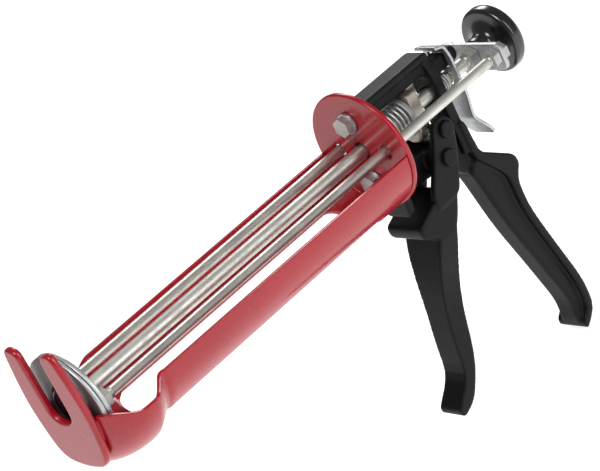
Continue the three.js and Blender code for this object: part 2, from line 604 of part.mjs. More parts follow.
// The trigger is a casting with two ears that straddle the body's boss, a finger stop below them
// and a curved blade that tapers in width and ends in a forward toe.
function triggerCasting() {
  const earOutline = outline([
    [DRIVE_PIN_X - 8, DRIVE_PIN_Z + 1, 6],
    [DRIVE_PIN_X - 2, DRIVE_PIN_Z + 8.6, 5],
    [DRIVE_PIN_X + 7, DRIVE_PIN_Z + 6.5, 5],
    [PIVOT_X + 9, PIVOT_Z + 4, 6],
    [PIVOT_X + 20, PIVOT_Z - 12, 5],
    [PIVOT_X + 21, PIVOT_Z - 22, 4],
    [PIVOT_X + 2, PIVOT_Z - 21, 4],
    [PIVOT_X - 8, PIVOT_Z - 2, 6],
  ]);
  const ears = [
    solid(alongY(earOutline, earInside, earOutside, 0.6)),
    solid(alongY(earOutline, -earOutside, -earInside, 0.6)),
  ];
  const bridge = solid(alongY(outline([
    [PIVOT_X + 12, PIVOT_Z - 12, 3],
    [PIVOT_X + 32, PIVOT_Z - 20, 4],
    [PIVOT_X + 37.5, PIVOT_Z - 22, 3],
    [PIVOT_X + 37, PIVOT_Z - 29, 3],
    [PIVOT_X + 29.5, PIVOT_Z - 34, 4],
    [PIVOT_X + 14, PIVOT_Z - 38, 6],
    [PIVOT_X + 8, PIVOT_Z - 30, 6],
    [PIVOT_X + 2, PIVOT_Z - 19, 3],
  ]), -bridgeHalfWidth, bridgeHalfWidth, 1.2));
  const blade = solid(alongY(outline([
    [PIVOT_X + 26, PIVOT_Z - 28, 4],
    [PIVOT_X + 30, PIVOT_Z - 38, 6],
    [PIVOT_X + 38, PIVOT_Z - 60, 14],
    [PIVOT_X + 44.5, PIVOT_Z - 92, 14],
    [PIVOT_X + 47, TRIGGER_BOTTOM + 18, 8],
    [PIVOT_X + 61.5, TRIGGER_BOTTOM + 5, 3],
    [PIVOT_X + 59.5, TRIGGER_BOTTOM, 3],
    [PIVOT_X + 48.5, TRIGGER_BOTTOM + 4, 6],
    [PIVOT_X + 36, TRIGGER_BOTTOM + 22, 14],
    [PIVOT_X + 27.5, PIVOT_Z - 75, 16],
    [PIVOT_X + 16, PIVOT_Z - 42, 12],
    [PIVOT_X + 8, PIVOT_Z - 28, 4],
  ]), -bridgeHalfWidth, bridgeHalfWidth, 1.2));
  const taper = solid(alongX(outline([
    [-earOutside, PIVOT_Z - 26, 0.5],
    [-bridgeHalfWidth, PIVOT_Z - 38, 8],
    [-TRIGGER_HALF_WIDTH, PIVOT_Z - 70, 12],
    [-TRIGGER_HALF_WIDTH, TRIGGER_BOTTOM - 1, 1],
    [TRIGGER_HALF_WIDTH, TRIGGER_BOTTOM - 1, 1],
    [TRIGGER_HALF_WIDTH, PIVOT_Z - 70, 12],
    [bridgeHalfWidth, PIVOT_Z - 38, 8],
    [earOutside, PIVOT_Z - 26, 0.5],
  ]), PIVOT_X, PIVOT_X + 80, 0));
  const blank = [...ears, bridge].reduce((whole, part) => whole.add(part), blade.intersect(taper));
  const holes = [[PIVOT_X, PIVOT_Z], [DRIVE_PIN_X, DRIVE_PIN_Z]].map(([x, z]) =>
    cylinderY(PIN_RADIUS + PIN_CLEARANCE, -earOutside - 1, earOutside + 1, x, z));
  return geometryOf(holes.reduce((whole, hole) => whole.subtract(solid(hole)), blank));
}

// A rivet from ear to ear, with a low domed head at each end.
function rivet(x, z) {
  const seat = earOutside + GAP;
  const end = seat + RIVET_HEAD_HEIGHT;
  const half = [
    [seat, PIN_RADIUS],
    [seat, RIVET_HEAD_RADIUS],
    [end - 0.8, RIVET_HEAD_RADIUS],
    [end, RIVET_HEAD_RADIUS - 1.4],
    [end, 0],
  ];
  const mirrored = half.map(([y, radius]) => [-y, radius]).reverse();
  return turned([...mirrored, ...half], 0, 0, 20).rotateZ(Math.PI / 2).translate(x, 0, z);
}

add('trigger', 'black', triggerCasting());
add('pivot_rivet', 'black', rivet(PIVOT_X, PIVOT_Z));
add('drive_rivet', 'black', rivet(DRIVE_PIN_X, DRIVE_PIN_Z));

// ================================================================ drive

// Grip plate: jams on the drive rod when the drive rivet pushes its lower end forwards.
const gripBlank = solid(alongX(outline([
  [-GRIP_HALF_WIDTH, GRIP_TOP, 2],
  [-GRIP_HALF_WIDTH, GRIP_BOTTOM + 9, 3],
  [-GRIP_HALF_WIDTH / 2, GRIP_BOTTOM, 3.5],
  [GRIP_HALF_WIDTH / 2, GRIP_BOTTOM, 3.5],
  [GRIP_HALF_WIDTH, GRIP_BOTTOM + 9, 3],
  [GRIP_HALF_WIDTH, GRIP_TOP, 2],
]), gripRear, gripFront, 0.6));
const gripHole = solid(cylinderX(DRIVE_ROD_RADIUS + ROD_CLEARANCE, gripRear - 1, gripFront + 1));
add('grip_plate', 'steel', geometryOf(gripBlank.subtract(gripHole)));

// Spring cup: a dished washer that centres the drive spring on the grip plate.
const cupFloor = cupRear + CUP_WALL;
add('spring_cup', 'zinc', turned([
  [cupRear, DRIVE_ROD_RADIUS + ROD_CLEARANCE],
  [cupRear, CUP_RADIUS - CUP_WALL],
  [cupRear + CUP_WALL, CUP_RADIUS],
  [cupFloor + CUP_RIM, CUP_RADIUS],
  [cupFloor + CUP_RIM, CUP_RADIUS - CUP_WALL],
  [cupFloor, CUP_RADIUS - CUP_WALL],
  [cupFloor, DRIVE_ROD_RADIUS + ROD_CLEARANCE],
  [cupRear, DRIVE_ROD_RADIUS + ROD_CLEARANCE],
]));

// A coil spring about the drive rod between two X places. The wire's ends lie clear of both seats.
function coil(radius, wire, turns, from, to) {
  class Helix extends THREE.Curve {
    getPoint(t, target = new THREE.Vector3()) {
      const angle = t * turns * 2 * Math.PI;
      const start = from + wire / 2;
      const end = to - wire / 2;
      return target.set(start + t * (end - start), radius * Math.cos(angle), radius * Math.sin(angle));
    }
  }
  const section = new THREE.Shape().absarc(0, 0, wire / 2, 0, 2 * Math.PI);
  return new THREE.ExtrudeGeometry(section, {
    steps: turns * 12,
    curveSegments: 3,
    extrudePath: new Helix(),
    bevelEnabled: false,
  });
}

add('drive_spring', 'steel', coil(DRIVE_SPRING_RADIUS, DRIVE_SPRING_WIRE, DRIVE_SPRING_TURNS,
  cupFloor + 2 * GAP, bayFront - 2 * GAP));

// ================================================================ release lever

// A bent plate hung on the body's lug. It jams on the drive rod until its thumb tab is pressed.
function releaseLever() {
  const bent = solid(alongY(strip([
    [bodyRear - 3.5, LEVER_TOP + 1.5],
    [leverFront + 0.5, LEVER_TOP],
    [leverFront, LUG_TOP - 2],
    [leverFront, LEVER_KNEE],
    [leverFront - TAB_REACH, LEVER_KNEE - TAB_DROP],
  ], LEVER_THICKNESS, 1.5), -LEVER_HALF_WIDTH - 2, LEVER_HALF_WIDTH + 2));
  const tabEnd = LEVER_KNEE - TAB_DROP - 2;
  const face = solid(alongX(outline([
    [-LEVER_HALF_WIDTH * 0.8, LEVER_TOP + 4, 2],
    [-LEVER_HALF_WIDTH, LUG_TOP - 4, 4],
    [-LEVER_HALF_WIDTH, -12, 4],
    [-LEVER_HALF_WIDTH * 0.7, LEVER_KNEE + 2, 5],
    [-LEVER_HALF_WIDTH, LEVER_KNEE - 9, 4],
    [-LEVER_HALF_WIDTH * 0.6, tabEnd, 5],
    [LEVER_HALF_WIDTH * 0.6, tabEnd, 5],
    [LEVER_HALF_WIDTH, LEVER_KNEE - 9, 4],
    [LEVER_HALF_WIDTH * 0.7, LEVER_KNEE + 2, 5],
    [LEVER_HALF_WIDTH, -12, 4],
    [LEVER_HALF_WIDTH, LUG_TOP - 4, 4],
    [LEVER_HALF_WIDTH * 0.8, LEVER_TOP + 4, 2],
  ]), leverRear - TAB_REACH - 5, bodyRear + 5));
  const lugHole = solid(box(leverRear - 1, leverFront + 1,
    -WEB_HALF_WIDTH - LUG_CLEARANCE, WEB_HALF_WIDTH + LUG_CLEARANCE,
    LUG_TOP - LUG_HEIGHT - LUG_CLEARANCE, LUG_TOP + LUG_CLEARANCE));
  const rodHole = solid(cylinderX(DRIVE_ROD_RADIUS + ROD_CLEARANCE, leverRear - 1, leverFront + 1));
  return geometryOf(bent.intersect(face).subtract(lugHole).subtract(rodHole));
}

add('release_lever', 'zinc', releaseLever());
add('release_spring', 'steel', coil(RELEASE_SPRING_RADIUS, RELEASE_SPRING_WIRE, RELEASE_SPRING_TURNS,
  leverFront + RELEASE_SPRING_GAP, bodyRear - 2 * GAP));

// The frame's origin is on the drive rod's axis, in the inner pusher's front face.
for (const mesh of gun.children) {
  mesh.geometry.translate(-innerFront, 0, 0);
}

export default gun;
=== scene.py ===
import math

import bmesh
import bpy
from mathutils import Matrix, Vector, noise


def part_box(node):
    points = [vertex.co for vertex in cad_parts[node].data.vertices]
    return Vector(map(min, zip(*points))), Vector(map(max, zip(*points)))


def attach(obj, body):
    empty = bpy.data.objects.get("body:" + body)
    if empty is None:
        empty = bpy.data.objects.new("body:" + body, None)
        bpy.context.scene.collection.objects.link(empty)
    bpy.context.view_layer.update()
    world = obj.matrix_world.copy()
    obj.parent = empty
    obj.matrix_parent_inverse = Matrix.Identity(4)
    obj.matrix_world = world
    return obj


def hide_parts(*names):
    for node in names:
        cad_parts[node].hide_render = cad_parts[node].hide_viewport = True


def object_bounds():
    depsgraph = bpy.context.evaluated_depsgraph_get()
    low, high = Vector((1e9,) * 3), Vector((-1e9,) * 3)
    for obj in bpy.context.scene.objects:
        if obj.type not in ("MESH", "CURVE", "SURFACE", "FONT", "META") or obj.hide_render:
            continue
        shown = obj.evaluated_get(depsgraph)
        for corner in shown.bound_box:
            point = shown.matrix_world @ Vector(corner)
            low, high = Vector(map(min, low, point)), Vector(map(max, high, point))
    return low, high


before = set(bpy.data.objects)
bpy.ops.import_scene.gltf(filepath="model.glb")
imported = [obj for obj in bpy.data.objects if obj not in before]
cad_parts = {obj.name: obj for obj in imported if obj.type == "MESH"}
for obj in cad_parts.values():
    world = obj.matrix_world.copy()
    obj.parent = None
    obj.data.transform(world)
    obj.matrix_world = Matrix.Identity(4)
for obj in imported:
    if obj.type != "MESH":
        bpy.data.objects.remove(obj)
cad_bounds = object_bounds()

MM = 0.001

# ==================================================================== stage
# The gun hangs level over a plain pale floor in a white studio. The camera looks down on its
# left side from in front, rolled so that the rods run from lower left to upper right.
CAMERA_RIGHT = Vector((-0.650, 0.638, -0.410)).normalized()
CAMERA_BACK = CAMERA_RIGHT.cross(Vector((-0.570, -0.055, 0.820))).normalized()
CAMERA_UP = CAMERA_BACK.cross(CAMERA_RIGHT)
CAMERA_DISTANCE = 1180 * MM
CAMERA_ASIDE = 32.8 * MM
CAMERA_BELOW = 44.3 * MM
SENSOR_WIDTH = 36
FOCAL_LENGTH = 134.5
WORLD_STRENGTH = 0.22
FLOOR_GAP = 3 * MM
FLOOR_REACH = 6
FLOOR_TONE = 0.93
FLOOR_GLOW = 0.66
REAR_PLATE_PLACE = Vector((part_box("rear_plate")[1].x, 0, 0))

camera_data = bpy.data.cameras.new("camera")
camera_data.sensor_width = SENSOR_WIDTH
camera_data.lens = FOCAL_LENGTH
camera = bpy.data.objects.new("camera", camera_data)
bpy.context.scene.collection.objects.link(camera)
camera_turn = Matrix((CAMERA_RIGHT, CAMERA_UP, CAMERA_BACK)).transposed()
camera.matrix_world = Matrix.Translation(
    REAR_PLATE_PLACE + CAMERA_BACK * CAMERA_DISTANCE
    - CAMERA_RIGHT * CAMERA_ASIDE - CAMERA_UP * CAMERA_BELOW
) @ camera_turn.to_4x4()
bpy.context.scene.camera = camera
bpy.context.scene.view_settings.view_transform = "Standard"


def area_light(name, place, target, width, height, watts, colour):
    """A soft box. Place and target are in metres from the middle of the rear plate's front face."""
    data = bpy.data.lights.new(name, "AREA")
    data.shape = "RECTANGLE"
    data.size = width
    data.size_y = height
    data.energy = watts
    data.color = colour
    lamp = bpy.data.objects.new(name, data)
    bpy.context.scene.collection.objects.link(lamp)
    lamp.location = REAR_PLATE_PLACE + Vector(place)
    lamp.rotation_euler = (Vector(target) - Vector(place)).to_track_quat("-Z", "Y").to_euler()


area_light("key_light", (0.45, 0.35, 1.0), (0.05, 0, 0), 0.45, 0.45, 8, (1, 0.99, 0.97))
area_light("side_light", (-0.3, 1.1, 0.45), (0, 0, -0.03), 0.25, 0.9, 5, (0.97, 0.98, 1))
area_light("rim_light", (-0.7, -0.7, 0.7), (0, 0, 0), 0.4, 0.4, 4, (1, 1, 1))

world = bpy.data.worlds.new("studio")
world.use_nodes = True
world.node_tree.nodes["Background"].inputs["Color"].default_value = (1, 1, 1, 1)
world.node_tree.nodes["Background"].inputs["Strength"].default_value = WORLD_STRENGTH
bpy.context.scene.world = world


class Value:
    """A shader socket that takes part in Python sums."""

    def __init__(self, finish, socket):
        self.finish = finish
        self.socket = socket

    def sum(self, operation, first, second):
        return self.finish.node("ShaderNodeMath", {"operation": operation}, {0: first, 1: second})

    def __add__(self, other):
        return self.sum("ADD", self, other)

    __radd__ = __add__

    def __sub__(self, other):
        return self.sum("SUBTRACT", self, other)

    def __rsub__(self, other):
        return self.sum("SUBTRACT", other, self)

    def __mul__(self, other):
        return self.sum("MULTIPLY", self, other)

    __rmul__ = __mul__


class Finish:
    """A material and the tree behind it."""

    def __init__(self, name):
        self.material = bpy.data.materials.new(name)
        self.material.use_nodes = True
        self.tree = self.material.node_tree
        self.shader = self.tree.nodes["Principled BSDF"]
        self.place = self.node("ShaderNodeTexCoord", {}, {}, "Object")

    def node(self, kind, settings, inputs, output=0):
        made = self.tree.nodes.new(kind)
        for key, value in settings.items():
            if key == "stops":
                ramp = made.color_ramp.elements
                while len(ramp) < len(value):
                    ramp.new(0.5)
                for element, (position, colour) in zip(ramp, value):
                    element.position = position
                    element.color = (colour, colour, colour, 1)
            else:
                setattr(made, key, value)
        for key, value in inputs.items():
            self.join(made.inputs, key, value)
        return Value(self, self.pick(made.outputs, output))

    def pick(self, sockets, key):
        if isinstance(key, int):
            return sockets[key]
        return next(s for s in sockets if key in (s.identifier, s.name))

    def join(self, sockets, key, value):
        socket = self.pick(sockets, key)
        if isinstance(value, Value):
            self.tree.links.new(value.socket, socket)
        else:
            socket.default_value = value

    def noise(self, scale, detail=4.0, stretch=(1, 1, 1), roughness=0.55):
        mapped = self.node("ShaderNodeMapping", {}, {"Vector": self.place, "Scale": stretch})
        return self.node("ShaderNodeTexNoise", {}, {
            "Vector": mapped, "Scale": scale, "Detail": detail, "Roughness": roughness})

    def ramp(self, factor, stops):
        return self.node("ShaderNodeValToRGB", {"stops": stops}, {"Fac": factor})

    def mix(self, factor, first, second):
        return self.node("ShaderNodeMix", {"data_type": "RGBA"}, {
            "Factor_Float": factor, "A_Color": first, "B_Color": second}, "Result_Color")

    def bump(self, height, distance, strength=1.0, under=None):
        inputs = {"Height": height, "Distance": distance, "Strength": strength}
        if under is not None:
            inputs["Normal"] = under
        return self.node("ShaderNodeBump", {}, inputs, "Normal")

    def wear(self, **sockets):
        for key, value in sockets.items():
            self.join(self.shader.inputs, key.replace("_", " ").title().replace("Ior", "IOR"), value)
        return self.material


floor_mesh = bpy.data.meshes.new("floor")
floor_height = cad_bounds[0][2] - FLOOR_GAP
floor_mesh.from_pydata(
    [(x * FLOOR_REACH, y * FLOOR_REACH, floor_height)
     for x, y in ((-1, -1), (1, -1), (1, 1), (-1, 1))],
    [], [(0, 1, 2, 3)])
floor = bpy.data.objects.new("floor", floor_mesh)
bpy.context.scene.collection.objects.link(floor)
floor_finish = Finish("pale_floor")
floor_mesh.materials.append(floor_finish.wear(
    base_color=(FLOOR_TONE, FLOOR_TONE, FLOOR_TONE, 1), roughness=0.9,
    emission_color=(1, 1, 1, 1), emission_strength=FLOOR_GLOW))


# ==================================================================== cradle
# The cartridge lies in half a steel tube with a long window pressed out of its floor. The tube
# swells into a closed nose at the front, and the whole cradle is welded up and painted red.
TROUGH_LIP = 1 * MM
SHEET = 2 * MM
NOSE_LENGTH = 37 * MM
MOUTH_INSET = 1.2 * MM
NECK_DEPTH = 0.9 * MM
EDGE_DIP = 7 * MM
WINDOW_HALF_WIDTH = 22.5 * MM
WINDOW_CORNER = 7 * MM
WINDOW_START = 18 * MM
GRID_STEP = 1.15 * MM
SWELL_LENGTH = 12 * MM
NECK_LENGTH = 1.8 * MM
DRAW_START = 14 * MM
DRAW_ROUNDNESS = 0.96
EGG_POWER = 1.5
DIP_LEAD = 1 * MM
DIP_IN = 10 * MM
DIP_OUT = 19 * MM
WINDOW_PAST_NOSE = 1 * MM
FLOOR_DEPTH = 15 * MM
RIM_ANGLE = 0.2
SHELL_EDGE = 0.55 * MM

cradle_low, cradle_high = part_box("cradle")
plate_low, plate_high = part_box("rear_plate")
trough_radius = plate_high.y - TROUGH_LIP
trough_edge = cradle_high.z
nose_radius = -cradle_low.z
nose_start = cradle_high.x - NOSE_LENGTH
window_start = cradle_low.x + WINDOW_START
window_end = nose_start + WINDOW_PAST_NOSE
hook_low, hook_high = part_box("hook_plate")


def finished(piece):
    """The piece with its modifiers turned into plain mesh."""
    bpy.context.view_layer.update()
    live = piece.evaluated_get(bpy.context.evaluated_depsgraph_get())
    mesh = bpy.data.meshes.new_from_object(live)
    piece.modifiers.clear()
    piece.data = mesh
    return piece


def piece_of(name, mesh, material, body, nodes, sharp=38):
    """One finished piece: its mesh, its finish, the body that it rides on and what it stands for."""
    piece = bpy.data.objects.new(name, mesh)
    bpy.context.scene.collection.objects.link(piece)
    mesh.materials.clear()
    mesh.materials.append(material)
    mesh.shade_smooth()
    mesh.set_sharp_from_angle(angle=math.radians(sharp))
    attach(piece, body)
    if nodes:
        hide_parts(*nodes)
    return piece


def mesh_from(bm, name):
    bmesh.ops.recalc_face_normals(bm, faces=bm.faces)
    mesh = bpy.data.meshes.new(name)
    bm.to_mesh(mesh)
    bm.free()
    return mesh


def red_paint():
    """Gloss red enamel: a clear wet coat over a faint orange peel, with dust and small rubs."""
    paint = Finish("red_paint")
    cloud = paint.noise(28, 3)
    tone = paint.mix(cloud, (0.30, 0.002, 0.010, 1), (0.39, 0.005, 0.017, 1))
    scuff = paint.ramp(paint.noise(95, 8, (0.35, 1, 1), 0.7), [(0.62, 0.0), (0.80, 1.0)])
    colour = paint.mix(scuff * 0.25, tone, (0.45, 0.05, 0.07, 1))
    dust = paint.noise(420, 2)
    peel = paint.bump(paint.noise(330, 2), 0.05 * MM, 0.35)
    scratch = paint.bump(paint.noise(60, 9, (0.12, 1, 1), 0.75), 0.03 * MM, 0.25, peel)
    return paint.wear(
        base_color=colour,
        roughness=0.22 + cloud * 0.08 + scuff * 0.18 + dust * 0.04,
        metallic=0.0,
        coat_weight=0.35 - scuff * 0.2,
        specular_ior_level=0.35,
        coat_roughness=0.06,
        normal=scratch,
    )


red = red_paint()


def ease(t):
    t = min(max(t, 0.0), 1.0)
    return t * t * (3 - 2 * t)


def trough_shape(x, angle):
    """Outside radius of the trough at x: a shallow neck, the swell, then the draw into the mouth,
    which follows the hook plate's egg shape round the angle."""
    swell = (nose_radius - trough_radius) * ease((x - nose_start) / SWELL_LENGTH)
    neck = NECK_DEPTH * math.exp(-((x - nose_start) / NECK_LENGTH) ** 2)
    draw_start = nose_start + DRAW_START
    draw = min(max((x - draw_start) / (cradle_high.x - draw_start), 0.0), 1.0)
    side = abs(math.cos(angle))
    egg = -hook_low.z + (hook_high.y + hook_low.z) * side ** EGG_POWER - MOUTH_INSET
    curve = (1 - math.sqrt(1 - DRAW_ROUNDNESS * draw * draw)) / (1 - math.sqrt(1 - DRAW_ROUNDNESS))
    mouth = (nose_radius - egg) * curve
    return trough_radius + swell - neck - mouth


def trough_rim(x):
    """Height of the trough's long edges, which dip round the nose."""
    dip = ease((x - nose_start + DIP_LEAD) / DIP_IN) * ease((cradle_high.x - x) / DIP_OUT)
    return trough_edge - EDGE_DIP * dip


def window_gap(x, y):
    """How far (x, y) lies outside the window, and the direction straight out of it."""
    middle = (window_start + window_end) / 2
    half_x = (window_end - window_start) / 2 - WINDOW_CORNER
    half_y = WINDOW_HALF_WIDTH - WINDOW_CORNER
    qx = abs(x - middle) - half_x
    qy = abs(y) - half_y
    if qx > 0 and qy > 0:
        out = Vector((qx, qy))
        distance = out.length - WINDOW_CORNER
    elif qx > qy:
        out = Vector((1, 0))
        distance = qx - WINDOW_CORNER
    else:
        out = Vector((0, 1))
        distance = qy - WINDOW_CORNER
    out.normalize()
    out.x *= 1 if x > middle else -1
    out.y *= 1 if y > 0 else -1
    return distance, out


def trough_sheet():
    """The trough's outer face as one sheet, with the window cut out and its edge drawn smooth."""
    bm = bmesh.new()
    rows = round((cradle_high.x - cradle_low.x) / GRID_STEP)
    columns = round(math.pi * trough_radius / GRID_STEP)
    grid = []
    for i in range(rows + 1):
        x = cradle_low.x + (cradle_high.x - cradle_low.x) * i / rows
        rim = math.asin(min(-trough_rim(x) / trough_shape(x, RIM_ANGLE), 1))
        row = []
        for k in range(columns + 1):
            angle = rim + (math.pi - 2 * rim) * k / columns
            radius = trough_shape(x, angle)
            row.append(bm.verts.new((x, radius * math.cos(angle), -radius * math.sin(angle))))
        grid.append(row)
    for i in range(rows):
        for k in range(columns):
            corners = (grid[i][k], grid[i + 1][k], grid[i + 1][k + 1], grid[i][k + 1])
            centre = sum((v.co for v in corners), Vector()) / 4
            if centre.z > -FLOOR_DEPTH or window_gap(centre.x, centre.y)[0] > 0:
                bm.faces.new(corners)
    loose = [v for v in bm.verts if not v.link_faces]
    bmesh.ops.delete(bm, geom=loose, context="VERTS")
    for vert in bm.verts:
        distance, out = window_gap(vert.co.x, vert.co.y)
        if vert.is_boundary and vert.co.z < -FLOOR_DEPTH and abs(distance) < 1.5 * GRID_STEP:
            vert.co.x -= out.x * distance
            vert.co.y -= out.y * distance
            radius = trough_shape(vert.co.x, math.acos(vert.co.y / trough_radius))
            vert.co.z = -math.sqrt(radius * radius - vert.co.y ** 2)
    return mesh_from(bm, "cradle_shell")


shell = bpy.data.objects.new("shell_blank", trough_sheet())
bpy.context.scene.collection.objects.link(shell)
middle_face = min(shell.data.polygons, key=lambda f: f.center.z)
wall = shell.modifiers.new("wall", "SOLIDIFY")
wall.thickness = SHEET
wall.offset = -1 if middle_face.normal.z < 0 else 1
wall.use_even_offset = True
edge_bevel = shell.modifiers.new("edge", "BEVEL")
edge_bevel.width = SHELL_EDGE
edge_bevel.segments = 2
edge_bevel.limit_method = "ANGLE"
edge_bevel.angle_limit = math.radians(55)
shell_mesh = finished(shell).data
bpy.data.objects.remove(shell)
piece_of("cradle_shell", shell_mesh, red, "frame", ["cradle"])


# ==================================================================== rear plate
# The round plate that closes the back of the trough is cut from steel sheet, welded on and painted
# with it. It has holes for the three rods and for the two bolts that hold the body.
DRIVE_HOLE = 4.7 * MM
SIDE_HOLE = 3.7 * MM
BOLT_HOLE = 3.3 * MM
REAR_PLATE_EDGE = 0.9 * MM


def plate(name, rings, low, high, edge, place):
    """A flat plate with rounded edges. The first ring is its outline and the others are its holes,
    place(u, v, w) puts a point of it, and w runs through the thickness from low to high."""
    bm = bmesh.new()
    quarter = [math.radians(a) for a in (90, 60, 30, 0)]
    lower = [(edge - edge * math.cos(a), low + edge - edge * math.sin(a)) for a in quarter]
    upper = [(inset, low + high - w) for inset, w in reversed(lower)]
    layers = [(edge * 1.6, low), *lower, *upper, (edge * 1.6, high)]
    caps = [[], []]
    for index, ring in enumerate(rings):
        count = len(ring)
        area = sum(ring[i - 1].x * ring[i].y - ring[i].x * ring[i - 1].y for i in range(count))
        side = (1 if area > 0 else -1) * (1 if index == 0 else -1)
        inward = []
        for i in range(count):
            along = (ring[(i + 1) % count] - ring[i - 1]).normalized()
            inward.append(Vector((-along.y, along.x)) * side)
        loops = []
        for inset, w in layers:
            spots = [ring[i] + inward[i] * inset for i in range(count)]
            loops.append([bm.verts.new(place(spot.x, spot.y, w)) for spot in spots])
        for first, second in zip(loops, loops[1:]):
            for i in range(count):
                n = (i + 1) % count
                bm.faces.new((first[i], first[n], second[n], second[i]))
        for cap, loop in zip(caps, (loops[0], loops[-1])):
            cap += [bm.edges.get((loop[i], loop[(i + 1) % count])) for i in range(count)]
    for cap in caps:
        bmesh.ops.triangle_fill(bm, edges=cap, use_beauty=True)
    return mesh_from(bm, name)


def circle(y, z, radius, steps=40):
    turn = [2 * math.pi * k / steps for k in range(steps)]
    return [Vector((y + radius * math.cos(a), z + radius * math.sin(a))) for a in turn]


def facing_x(u, v, w):
    return (w, u, v)


side_offset = (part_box("left_rod")[0].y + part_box("left_rod")[1].y) / 2
bolt_offset = (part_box("upper_plate_bolt")[0].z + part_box("upper_plate_bolt")[1].z) / 2
rear_rings = [
    circle(0, 0, plate_high.y, 120),
    circle(0, 0, DRIVE_HOLE),
    circle(side_offset, 0, SIDE_HOLE),
    circle(-side_offset, 0, SIDE_HOLE),
    circle(0, bolt_offset, BOLT_HOLE),
    circle(0, -bolt_offset, BOLT_HOLE),
]
piece_of("rear_plate_disc",
         plate("rear_plate_disc", rear_rings, plate_low.x, plate_high.x, REAR_PLATE_EDGE, facing_x),
         red, "frame", ["rear_plate"])


# ==================================================================== hook plate
# The steel plate across the front holds the cartridge's shoulder, and its slot, open upwards,
# lets the nozzle through. It is welded to the trough's mouth and painted with it.
SLOT_HALF_WIDTH = 9 * MM
SLOT_BOTTOM = -6 * MM


def rounded(corners, steps=7):
    """Points along a closed outline whose (u, v, cut) corners are rounded back by their cut."""
    points = []
    for i, (u, v, cut) in enumerate(corners):
        corner = Vector((u, v))
        before = Vector(corners[i - 1][:2]) - corner
        after = Vector(corners[(i + 1) % len(corners)][:2]) - corner
        if cut == 0:
            points.append(corner)
            continue
        start = corner + before * min(cut / before.length, 0.47)
        end = corner + after * min(cut / after.length, 0.47)
        for k in range(steps + 1):
            t = k / steps
            points.append(start * (1 - t) ** 2 + corner * 2 * t * (1 - t) + end * t * t)
    return points


hook_half = hook_high.y
hook_waist = (hook_high.z + hook_low.z) / 2
prong = (hook_half + SLOT_HALF_WIDTH) / 2
hook_side = [
    (0, hook_low.z - 0.4 * MM, 8 * MM),
    (hook_half * 0.8, hook_low.z + 2.6 * MM, 11 * MM),
    (hook_half + 0.4 * MM, hook_waist - 4 * MM, 16 * MM),
    (hook_half - 0.8 * MM, hook_waist + 14 * MM, 12 * MM),
    (prong + 3.2 * MM, hook_high.z + 1 * MM, 5.5 * MM),
    (SLOT_HALF_WIDTH + 0.6 * MM, hook_high.z - 1 * MM, 4.5 * MM),
    (SLOT_HALF_WIDTH, SLOT_BOTTOM, SLOT_HALF_WIDTH * 0.98),
]
hook_outline = rounded(hook_side + [(-y, z, cut) for y, z, cut in reversed(hook_side[1:])], 9)
piece_of("hook_plate_front",
         plate("hook_plate_front", [hook_outline], hook_low.x, hook_high.x, 1.3 * MM, facing_x),
         red, "frame", ["hook_plate"])


# ==================================================================== welds
# A thin bead of steel weld joins the trough to the plate at each end. It lies in small uneven
# ripples, and the red enamel runs over it.
WELD_SIDES = 10
WELD_PLACE = Vector((3, 0, 0))
FRONT_WELD_INSET = 0.985


def weld_bead(name, line, thickness):
    """A rippled bead of weld along a line of points, painted over with the cradle."""
    bm = bmesh.new()
    rings = []
    for i, point in enumerate(line):
        along = (line[min(i + 1, len(line) - 1)] - line[max(i - 1, 0)]).normalized()
        across = along.cross(Vector((1, 0, 0))).normalized()
        ripple = 1 + 0.10 * math.sin(i * 2.1) + 0.12 * noise.noise(point * 700 + WELD_PLACE)
        taper = min(1, 0.25 + 0.5 * min(i, len(line) - 1 - i))
        radius = thickness * ripple * taper
        ring = []
        for k in range(WELD_SIDES):
            angle = 2 * math.pi * k / WELD_SIDES
            offset = Vector((1, 0, 0)) * math.cos(angle) + across * math.sin(angle)
            ring.append(bm.verts.new(point + offset * radius))
        rings.append(ring)
    for first, second in zip(rings, rings[1:]):
        for k in range(WELD_SIDES):
            n = (k + 1) % WELD_SIDES
            bm.faces.new((first[k], first[n], second[n], second[k]))
    for ring in (rings[0], rings[-1]):
        bm.faces.new(ring)
    return mesh_from(bm, name)


def arc_points(x, radius, start, end, steps):
    turn = [math.radians(start + (end - start) * k / steps) for k in range(steps + 1)]
    return [Vector((x, radius * math.cos(a), -radius * math.sin(a))) for a in turn]


rear_line = arc_points(cradle_low.x, trough_radius - SHEET, 6, 174, 120)
front_line = []
for k in range(91):
    angle = math.radians(8 + 164 * k / 90)
    reach = trough_shape(cradle_high.x, angle) * FRONT_WELD_INSET
    front_line.append(Vector((cradle_high.x, reach * math.cos(angle), -reach * math.sin(angle))))
for weld_name, weld_line, weld_size in (
        ("rear_weld", rear_line, 0.9 * MM), ("front_weld", front_line, 1.0 * MM)):
    piece_of(weld_name, weld_bead(weld_name, weld_line, weld_size), red, "frame", [])


# ==================================================================== rods and pusher
# Three drawn steel rods, zinc plated, carry the round pusher. The outer two push the ring and
# the thick one in the middle is gripped by the trigger and pushes the small inner disc.
ROD_CHAMFER = 0.8 * MM
THREAD_DEPTH = 0.35 * MM
THREAD_CREST = 0.02 * MM
SIDE_PITCH = 1 * MM
DRIVE_PITCH = 1.25 * MM
RING_BORE = 12 * MM
DRIVE_CLEAR = 4.3 * MM
SIDE_CLEAR = 3.3 * MM


